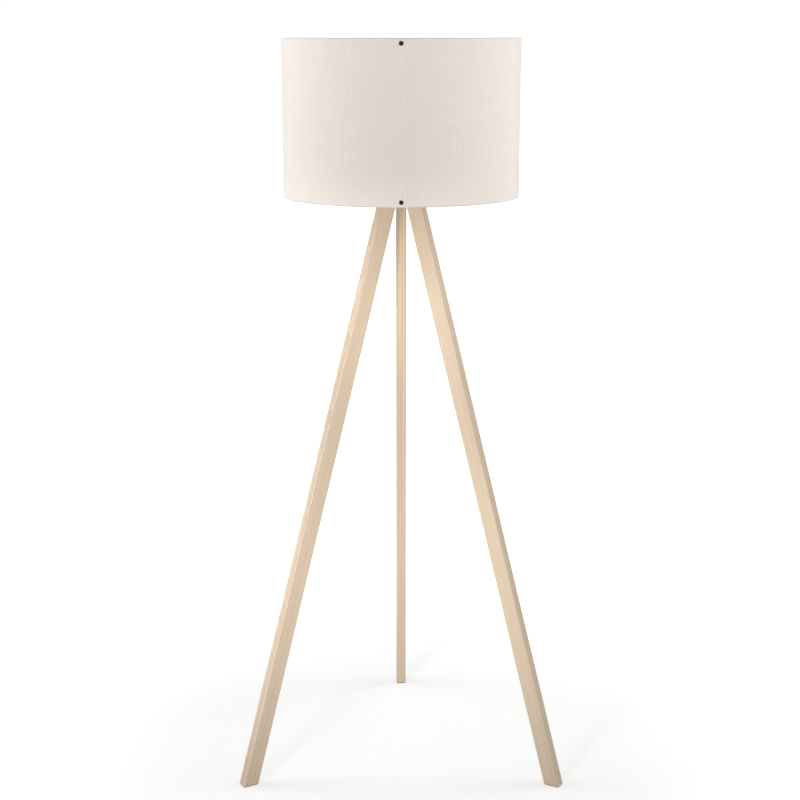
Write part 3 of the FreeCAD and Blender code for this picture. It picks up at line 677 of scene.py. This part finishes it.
# --- Light bulb -------------------------------------------------------------------------------------------
# A round E27 bulb: an opal plastic globe on a white skirt, with a nickel-plated screw cap, a black glass
# insulator and a soldered tip contact. The board that carries its light source is hidden in the globe.
opal, tree, shader = new_material(
    "opal_globe",
    Roughness=0.34,
    Subsurface_Weight=0.35,
    Subsurface_Radius=(1.0, 1.0, 1.0),
    Subsurface_Scale=0.002,
    IOR=1.49,
)
where = add_node(tree, "TexCoord")
cloud = add_node(tree, "TexNoise", {"Vector": where.outputs["Object"], "Scale": 90.0, "Detail": 3.0})
tint = add_node(tree, "ValToRGB", {"Fac": cloud.outputs["Fac"]})
tint.color_ramp.elements[0].color = (0.92, 0.90, 0.86, 1)
tint.color_ramp.elements[1].color = (0.86, 0.84, 0.80, 1)
tree.links.new(tint.outputs["Color"], shader.inputs["Base Color"])
orange_peel = add_node(tree, "TexNoise", {"Vector": where.outputs["Object"], "Scale": 1500.0})
bump = add_node(tree, "Bump", {"Height": orange_peel.outputs["Fac"], "Strength": 0.1, "Distance": 0.0001})
tree.links.new(bump.outputs["Normal"], shader.inputs["Normal"])

globe_low, globe_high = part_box("bulb_globe")
globe_radius = globe_high.x
globe_centre = globe_high.z - globe_radius
GLOBE_WALL = 0.001
rim_angle = math.acos((globe_low.z - globe_centre) / globe_radius)
ARC = 30
outer = [rim_angle * step / ARC for step in range(ARC + 1)]
bm = bmesh.new()
lathe(
    bm,
    [(globe_radius * math.sin(a), globe_centre + globe_radius * math.cos(a)) for a in outer]
    + [
        (
            (globe_radius - GLOBE_WALL) * math.sin(a),
            max(globe_low.z, globe_centre + (globe_radius - GLOBE_WALL) * math.cos(a)),
        )
        for a in reversed(outer)
    ],
    steps=72,
    closed=False,
)
finish_piece(bm, "bulb_globe_opal", opal, "bulb", ["bulb_globe"])

white_plastic = mottled(
    "white_moulding", (0.86, 0.86, 0.84), (0.78, 0.78, 0.75), 1100.0, (0.25, 0.4), (0.12, 0.0001)
)
skirt_low, skirt_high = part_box("bulb_skirt")
skirt_radius = skirt_high.x
NECK = 0.0137
SKIRT_WALL = 0.0016
rise = skirt_high.z - skirt_low.z
bm = bmesh.new()
lathe(
    bm,
    [
        (NECK - SKIRT_WALL, skirt_low.z),
        (NECK, skirt_low.z),
        (NECK + 0.0006, skirt_low.z + 0.005),
        (NECK + 0.0025, skirt_low.z + 0.35 * rise),
        (NECK + 0.0058, skirt_low.z + 0.60 * rise),
        (skirt_radius - 0.0008, skirt_high.z - 0.0045),
        (skirt_radius, skirt_high.z - 0.0025),
        (skirt_radius, skirt_high.z - 0.0014),
        (skirt_radius - 0.0005, skirt_high.z - 0.0011),
        (skirt_radius - 0.0005, skirt_high.z - 0.0006),
        (skirt_radius, skirt_high.z - 0.0003),
        (skirt_radius - 0.0001, skirt_high.z),
        (skirt_radius - 2 * SKIRT_WALL, skirt_high.z),
        (skirt_radius - 2 * SKIRT_WALL, skirt_high.z - 0.003),
        (NECK - 0.0010, skirt_low.z + 0.006),
    ],
    steps=72,
)
finish_piece(bm, "bulb_skirt_moulded", white_plastic, "bulb", ["bulb_skirt"], ease=0.0002)

nickel = mottled(
    "nickel_plate", (0.74, 0.73, 0.70), (0.60, 0.58, 0.55), 800.0, (0.18, 0.34), (0.08, 0.00008), Metallic=1.0
)
screw_low, screw_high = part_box("bulb_cap")
screw_crest = screw_high.x
PITCH = 0.0036
RELIEF = 0.0009
SHEET = 0.0005
TURNS = 5
wave = [step / 8 for step in range(8 * TURNS + 1)]
outer = [
    (screw_crest - RELIEF / 2 - RELIEF / 2 * math.cos(turn * math.tau), screw_low.z + turn * PITCH)
    for turn in wave
]
bm = bmesh.new()
lathe(
    bm,
    outer
    + [(screw_crest, screw_low.z + (TURNS + 0.5) * PITCH), (screw_crest, screw_high.z)]
    + [(screw_crest - SHEET, screw_high.z), (screw_crest - SHEET, screw_low.z + (TURNS + 0.5) * PITCH)]
    + [(radius - SHEET, height) for radius, height in reversed(outer)],
    steps=72,
)
finish_piece(bm, "bulb_cap_rolled", nickel, "bulb", ["bulb_cap"])

black_glass = mottled(
    "black_glass", (0.012, 0.012, 0.014), (0.004, 0.004, 0.005), 500.0, (0.05, 0.14), (0.1, 0.0001)
)
seal_low, seal_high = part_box("bulb_insulator")
seal_radius = seal_high.x
bm = bmesh.new()
lathe(
    bm,
    [
        (0, seal_low.z),
        (0.0056, seal_low.z),
        (0.0068, seal_low.z + 0.0006),
        (seal_radius - 0.0016, seal_low.z + 0.0036),
        (seal_radius, seal_high.z - 0.0008),
        (seal_radius, seal_high.z),
        (0, seal_high.z),
    ],
    steps=48,
    closed=False,
)
finish_piece(bm, "bulb_insulator_glass", black_glass, "bulb", ["bulb_insulator"], ease=0.0003)

tip_low, tip_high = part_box("bulb_tip")
tip_radius = tip_high.x
bm = bmesh.new()
lathe(
    bm,
    [
        (0, tip_low.z),
        (tip_radius - 0.0022, tip_low.z + 0.0001),
        (tip_radius - 0.0010, tip_low.z + 0.0004),
        (tip_radius - 0.0002, tip_low.z + 0.0011),
        (tip_radius, tip_low.z + 0.0016),
        (tip_radius, tip_high.z),
        (0, tip_high.z),
    ],
    steps=32,
    closed=False,
)
finish_piece(bm, "bulb_tip_domed", brass, "bulb", ["bulb_tip"], ease=0.0002)
wear(
    "led_board",
    mottled("white_board", (0.80, 0.80, 0.78), (0.70, 0.70, 0.68), 900.0, (0.4, 0.55), (0.2, 0.0001)),
)


# --- Shade frame ------------------------------------------------------------------------------------------
# White powder-coated steel: a hoop of round wire inside each rim, and three wires welded from the lower hoop
# up to a flat fitter ring that sits on the lampholder.
powder_coat = mottled(
    "white_powder_coat", (0.80, 0.79, 0.75), (0.74, 0.73, 0.69), 2200.0, (0.38, 0.5), (0.35, 0.00012)
)
WIRE_SIDES = 16
for node in ("upper_wire_ring", "lower_wire_ring"):
    low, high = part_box(node)
    wire = (high.z - low.z) / 2
    hoop = high.x - wire
    bm = bmesh.new()
    start = Matrix.Translation((hoop, 0, (low.z + high.z) / 2)) @ Matrix.Rotation(math.radians(90), 4, "X")
    bmesh.ops.create_circle(bm, segments=WIRE_SIDES, radius=wire, matrix=start)
    bmesh.ops.spin(
        bm,
        geom=bm.verts[:] + bm.edges[:],
        cent=(0, 0, 0),
        axis=AXIS,
        angle=math.tau,
        steps=240,
        use_merge=True,
    )
    # the butt weld where the hoop's ends meet, dressed almost flush
    weld = bmesh.ops.create_uvsphere(bm, u_segments=16, v_segments=10, radius=wire * 1.12)
    bmesh.ops.translate(bm, verts=weld["verts"], vec=(0, hoop, (low.z + high.z) / 2))
    finish_piece(bm, node + "_wire", powder_coat, "shade", [node])

ring_low, ring_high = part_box("fitter_ring")
ring_radius = ring_high.x
RING_BORE = 0.0210
bm = bmesh.new()
lathe(
    bm,
    [
        (RING_BORE, ring_low.z),
        (ring_radius, ring_low.z),
        (ring_radius, ring_high.z),
        (RING_BORE, ring_high.z),
    ],
    steps=96,
)
finish_piece(bm, "fitter_ring_pressed", powder_coat, "shade", ["fitter_ring"], ease=0.0005)

arms_low, arms_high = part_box("spider_arms")
LEVEL_RUN = 0.014
INNER_RUN = 0.012
BEND_RADIUS = 0.009
BEND_STEPS = 6
NUT_CLEARANCE = 0.0012  # from a ring nut's rim to the arms' inner ends
arm_start = -arms_low.y
lower_level = arms_low.z + wire
upper_level = arms_high.z - wire
arm_end = NUT_RIM + NUT_CLEARANCE
slope_run = arm_start - LEVEL_RUN - (ring_radius + INNER_RUN)
slope = math.atan2(upper_level - lower_level, slope_run)
trim = BEND_RADIUS * math.tan(slope / 2)
bm = bmesh.new()
turned_in = Matrix.Translation((arm_start, 0, lower_level)) @ Matrix.Rotation(math.radians(90), 4, "Y")
bmesh.ops.create_circle(bm, cap_ends=True, segments=WIRE_SIDES, radius=wire, matrix=turned_in)
end_face = bm.faces[:][0]


def push_on(face, move, keep=False):
    """Draw a wire's end face out by one move, and return the new end face."""
    grown = bmesh.ops.extrude_face_region(bm, geom=[face], use_keep_orig=keep)["geom"]
    moved = [part for part in grown if isinstance(part, bmesh.types.BMVert)]
    bmesh.ops.transform(bm, matrix=move, verts=moved)
    return next(part for part in grown if isinstance(part, bmesh.types.BMFace))


def bend(face, angle, centre):
    """Bend a wire's end through an angle about a level axis at a centre."""
    step = Matrix.Rotation(angle / BEND_STEPS, 4, "Y")
    for _ in range(BEND_STEPS):
        face = push_on(face, Matrix.Translation(centre) @ step @ Matrix.Translation(-centre))
    return face


uphill = Vector((-math.cos(slope), 0, math.sin(slope)))
square = Vector((math.sin(slope), 0, math.cos(slope)))
end_face = push_on(end_face, Matrix.Translation((-(LEVEL_RUN - trim), 0, 0)), keep=True)
end_face = bend(end_face, slope, end_face.calc_center_median() + BEND_RADIUS * AXIS)
slope_length = math.hypot(slope_run, upper_level - lower_level) - 2 * trim
end_face = push_on(end_face, Matrix.Translation(uphill * slope_length))
end_face = bend(end_face, -slope, end_face.calc_center_median() - BEND_RADIUS * square)
last_run = end_face.calc_center_median().x - arm_end
end_face = push_on(end_face, Matrix.Translation((-last_run, 0, 0)))
for place in ((arm_start - 0.0006, 0, lower_level), (ring_radius - 0.001, 0, upper_level + 0.0004)):
    bead = bmesh.ops.create_uvsphere(bm, u_segments=16, v_segments=10, radius=wire * 1.25)
    bmesh.ops.translate(bm, verts=bead["verts"], vec=place)
thrice(bm, 0.0, 270.0)
finish_piece(bm, "spider_arms_bent", powder_coat, "shade", ["spider_arms"])


# --- Shade panel ------------------------------------------------------------------------------------------
# One flat strip of off-white linen-look fabric, laminated on a white plastic lining, is rolled into a drum
# round the two hoops. Its outer end laps over the inner one at the front, where two snap rivets hold it.
WARP = 0.00052
WEFT = 0.00058


def linen(name, rim_shade_strength=0.0, half=1.0):
    """Plain-woven off-white fabric on the flat UV map, with slubs, and a painted shade line darkening the
    cloth along both rims.
    """
    material, tree, shader = new_material(
        name, Roughness=0.9, Specular_IOR_Level=0.15, Sheen_Weight=0.9, Sheen_Roughness=0.45
    )
    flat = add_node(tree, "UVMap", uv_map="flat")
    count = add_node(tree, "Mapping", {"Vector": flat.outputs["UV"], "Scale": (1 / WARP, 1 / WEFT, 1)})
    drift = add_node(tree, "TexNoise", {"Vector": flat.outputs["UV"], "Scale": 150.0, "Detail": 2.0})
    sway = add_node(tree, "VectorMath", {0: drift.outputs["Color"], 1: (1.6, 1.6, 0.0)}, operation="MULTIPLY")
    laid = add_node(
        tree, "VectorMath", {0: count.outputs["Vector"], 1: sway.outputs["Vector"]}, operation="ADD"
    )
    split = add_node(tree, "SeparateXYZ", {"Vector": laid.outputs["Vector"]})
    ridges = []
    for side in ("X", "Y"):
        phase = add_node(tree, "Math", {0: split.outputs[side], 1: math.pi}, operation="MULTIPLY")
        swing = add_node(tree, "Math", {0: phase.outputs["Value"]}, operation="SINE")
        ridges.append(add_node(tree, "Math", {0: swing.outputs["Value"]}, operation="ABSOLUTE"))
    over = add_node(tree, "TexChecker", {"Vector": laid.outputs["Vector"], "Scale": 1.0})
    weave = add_node(
        tree,
        "Mix",
        {0: over.outputs["Fac"], 2: ridges[0].outputs["Value"], 3: ridges[1].outputs["Value"]},
        data_type="FLOAT",
    )
    slubs = []
    for scale in ((14, 1500, 1), (1700, 11, 1)):
        drawn = add_node(tree, "Mapping", {"Vector": flat.outputs["UV"], "Scale": scale})
        slubs.append(
            add_node(tree, "TexNoise", {"Vector": drawn.outputs["Vector"], "Scale": 1.0, "Detail": 3.0})
        )
    slub = add_node(tree, "Math", {0: slubs[0].outputs["Fac"], 1: slubs[1].outputs["Fac"]}, operation="ADD")
    tone = add_node(
        tree,
        "MapRange",
        {"Value": slub.outputs["Value"], "From Min": 0.7, "From Max": 1.3, "To Min": 0.0, "To Max": 1.0},
    )
    thread = add_node(
        tree,
        "Mix",
        {"Factor": tone.outputs["Result"], 6: (*CLOTH_DARK, 1), 7: (*CLOTH_PALE, 1)},
        data_type="RGBA",
    )
    gap = add_node(
        tree,
        "MapRange",
        {"Value": weave.outputs[0], "From Min": 0.0, "From Max": 0.5, "To Min": 0.78, "To Max": 1.0},
    )
    grey = add_node(tree, "CombineColor", {c: gap.outputs["Result"] for c in ("Red", "Green", "Blue")})
    woven = add_node(
        tree,
        "Mix",
        {"Factor": 1.0, 6: thread.outputs[2], 7: grey.outputs["Color"]},
        data_type="RGBA",
        blend_type="MULTIPLY",
    )
    height = add_node(tree, "SeparateXYZ", {"Vector": flat.outputs["UV"]})
    away = add_node(tree, "Math", {0: height.outputs["Y"]}, operation="ABSOLUTE")
    # painted shade: the cloth is darkened in a thin band along both rims
    edge = add_node(
        tree,
        "MapRange",
        {"Value": away.outputs["Value"], "From Min": half - 0.0024, "From Max": half - 0.0010},
    )
    line = add_node(tree, "Math", {0: edge.outputs["Result"], 1: rim_shade_strength}, operation="MULTIPLY")
    rim_shaded = add_node(
        tree,
        "Mix",
        {"Factor": line.outputs["Value"], 6: woven.outputs[2], 7: (0.42, 0.36, 0.30, 1)},
        data_type="RGBA",
    )
    tree.links.new(rim_shaded.outputs[2], shader.inputs["Base Color"])
    relief = add_node(tree, "Math", {0: weave.outputs[0], 1: slub.outputs["Value"]}, operation="ADD")
    bump = add_node(tree, "Bump", {"Height": relief.outputs["Value"], "Strength": 0.35, "Distance": 0.0002})
    tree.links.new(bump.outputs["Normal"], shader.inputs["Normal"])
    return material


CLOTH_PALE = (0.819, 0.752, 0.691)
CLOTH_DARK = (0.724, 0.650, 0.582)
lining = mottled("white_lining", (0.87, 0.85, 0.81), (0.81, 0.79, 0.75), 300.0, (0.35, 0.5), (0.1, 0.0002))

panel_low, panel_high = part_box("shade_panel")
shade_radius = panel_high.x
shade_height = panel_high.z - panel_low.z
LAYER = 0.0008
LAP = 0.022
TUCK = 0.040  # how far before the lap the strip starts to run under
BULGE = 0.0003
COLUMNS = 420
ROWS = 34
strip_length = math.tau * shade_radius + LAP
# the outer fabric gets the painted shade band along its rims at half strength
fabric = linen("linen_fabric", rim_shade_strength=0.5, half=shade_height / 2)
bm = bmesh.new()
bmesh.ops.create_grid(bm, x_segments=COLUMNS, y_segments=ROWS, size=0.5)
bmesh.ops.scale(bm, verts=bm.verts, vec=(strip_length, shade_height, 1))
flat_map = bm.loops.layers.uv.new("flat")
for face in bm.faces:
    for loop in face.loops:
        loop[flat_map].uv = loop.vert.co.xy
outer_end = math.radians(270) + LAP / 2 / shade_radius
for vert in bm.verts:
    along = strip_length / 2 - vert.co.x
    up = vert.co.y
    tuck = min(max((along - (strip_length - LAP - TUCK)) / TUCK, 0.0), 1.0)
    tuck = tuck * tuck * (3 - 2 * tuck)
    angle = outer_end - along / shade_radius
    spare = math.cos(math.pi * up / shade_height)
    swell = noise.noise(Vector((2.2 * math.cos(angle), 2.2 * math.sin(angle), 9 * up))) * BULGE * spare
    radius = shade_radius - tuck * (LAYER + 0.00005) + swell * (1 - tuck)
    vert.co = (radius * math.cos(angle), radius * math.sin(angle), (panel_low.z + panel_high.z) / 2 + up)
panel = finish_piece(
    bm, "shade_panel_rolled", fabric, "shade", ["shade_panel"], outward=False
)
panel.data.materials.append(lining)
backed = panel.modifiers.new("laminate", "SOLIDIFY")
backed.thickness = LAYER
backed.offset = -1.0
backed.material_offset = 1
backed.material_offset_rim = 0
rims = panel.modifiers.new("cut_rims", "BEVEL")
rims.width = 0.00028
rims.segments = 2
rims.limit_method = "ANGLE"
rims.angle_limit = math.radians(60)
rims.harden_normals = True


# --- Hems -------------------------------------------------------------------------------------------------
# The fabric's spare edge is folded in over each rim, round the hoop, and glued to the lining. It is cut away
# at the rivets, and on the lower rim where each wire arm is welded to the hoop.
HEM_CLOTH = 0.0004
HEM_REACH = 0.0085
HEM_CUT = 0.013  # from a rivet or an arm to the hem's end
hem_fabric = linen("linen_hem")
for node, inward, gaps in (("lower_wire_ring", 1, (270.0, 30.0, 150.0)), ("upper_wire_ring", -1, (270.0,))):
    low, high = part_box(node)
    level = (low.z + high.z) / 2
    hoop = high.x - wire
    glued = shade_radius - LAYER - HEM_CLOTH / 2 - 0.0001
    wrap = wire + HEM_CLOTH / 2 + 0.00005
    outline = [(glued, inward * (wire + HEM_REACH)), (glued, inward * (wire + 0.0035))]
    for degrees in range(50, 281, 23):
        turn = math.radians(degrees)
        outline.append((hoop + wrap * math.cos(turn), inward * wrap * math.sin(turn)))
    outline.append((glued, -inward * (wire + 0.00055)))
    bm = bmesh.new()
    gap = math.degrees(HEM_CUT / hoop)
    starts = sorted(gaps)
    for number, start in enumerate(starts):
        stop = starts[(number + 1) % len(starts)] + (360.0 if number + 1 == len(starts) else 0.0)
        sweep = math.radians(stop - start - 2 * gap)
        points = [bm.verts.new((radius, 0, level + height)) for radius, height in outline]
        edges = [bm.edges.new(pair) for pair in zip(points, points[1:])]
        bmesh.ops.rotate(
            bm, verts=points, cent=(0, 0, 0), matrix=Matrix.Rotation(math.radians(start + gap), 3, "Z")
        )
        bmesh.ops.spin(
            bm,
            geom=points + edges,
            cent=(0, 0, 0),
            axis=AXIS,
            angle=sweep,
            steps=round(sweep / math.radians(2)),
        )
    bmesh.ops.recalc_face_normals(bm, faces=bm.faces)
    flat_map = bm.loops.layers.uv.new("flat")
    for face in bm.faces:
        middle = face.calc_center_median()
        around = math.atan2(middle.y, middle.x)
        for loop in face.loops:
            aside = math.atan2(loop.vert.co.y, loop.vert.co.x) - around
            aside = (aside + math.pi) % math.tau - math.pi
            along = (around + aside) * hoop
            loop[flat_map].uv = (along, loop.vert.co.z - level + loop.vert.co.xy.length - hoop)
    hem = finish_piece(
        bm, node.split("_")[0] + "_hem", hem_fabric, "shade", [], outward=False
    )
    thick = hem.modifiers.new("cloth", "SOLIDIFY")
    thick.thickness = HEM_CLOTH
    thick.offset = 0.0


# --- Seam rivets ------------------------------------------------------------------------------------------
# Two black moulded snap rivets go through the lap at the front: a low domed head with a shallow dimple
# outside, and a ring-shaped back with the pin's end inside.
rivet_black = mottled(
    "black_rivet",
    (0.016, 0.015, 0.015),
    (0.008, 0.007, 0.007),
    1500.0,
    (0.22, 0.34),
    (0.1, 0.0001),
    Specular_IOR_Level=0.22,
)
heads_low, heads_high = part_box("seam_rivet_heads")
HEAD = 0.004
PIN = 0.0018
head_height = -heads_low.y - shade_radius
levels = (heads_low.z + HEAD, heads_high.z - HEAD)
to_front = Matrix.Rotation(math.radians(90), 3, "X")
bm = bmesh.new()
for level in levels:
    fresh = lathe(
        bm,
        [
            (0, -0.0040),
            (PIN - 0.0004, -0.0040),
            (PIN, -0.0036),
            (PIN, 0.00002),
            (HEAD - 0.0001, 0.00002),
            (HEAD, 0.35 * head_height),
            (HEAD - 0.0005, 0.72 * head_height),
            (HEAD - 0.0015, head_height),
            (0.0016, head_height),
            (0.0011, head_height - 0.0002),
            (0, head_height - 0.00035),
        ],
        steps=48,
        closed=False,
    )
    bmesh.ops.rotate(bm, verts=fresh, cent=(0, 0, 0), matrix=to_front)
    bmesh.ops.translate(bm, verts=fresh, vec=(0, -shade_radius, level))
finish_piece(bm, "seam_rivet_heads_domed", rivet_black, "shade", ["seam_rivet_heads"])

backs_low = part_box("seam_rivet_backs")[0]
BACK = 0.0037
bm = bmesh.new()
back_face = -backs_low.y
back_height = 0.0012
for level in levels:
    fresh = lathe(
        bm,
        [
            (PIN + 0.00005, 0),
            (BACK, 0),
            (BACK, -0.6 * back_height),
            (BACK - 0.0007, -back_height),
            (PIN + 0.0006, -back_height),
            (PIN + 0.00005, -0.7 * back_height),
        ],
        steps=48,
    )
    bmesh.ops.rotate(bm, verts=fresh, cent=(0, 0, 0), matrix=to_front)
    bmesh.ops.translate(bm, verts=fresh, vec=(0, -back_face, level))
finish_piece(
    bm, "seam_rivet_backs_ring", rivet_black, "shade", ["seam_rivet_backs"], ease=0.0001
)
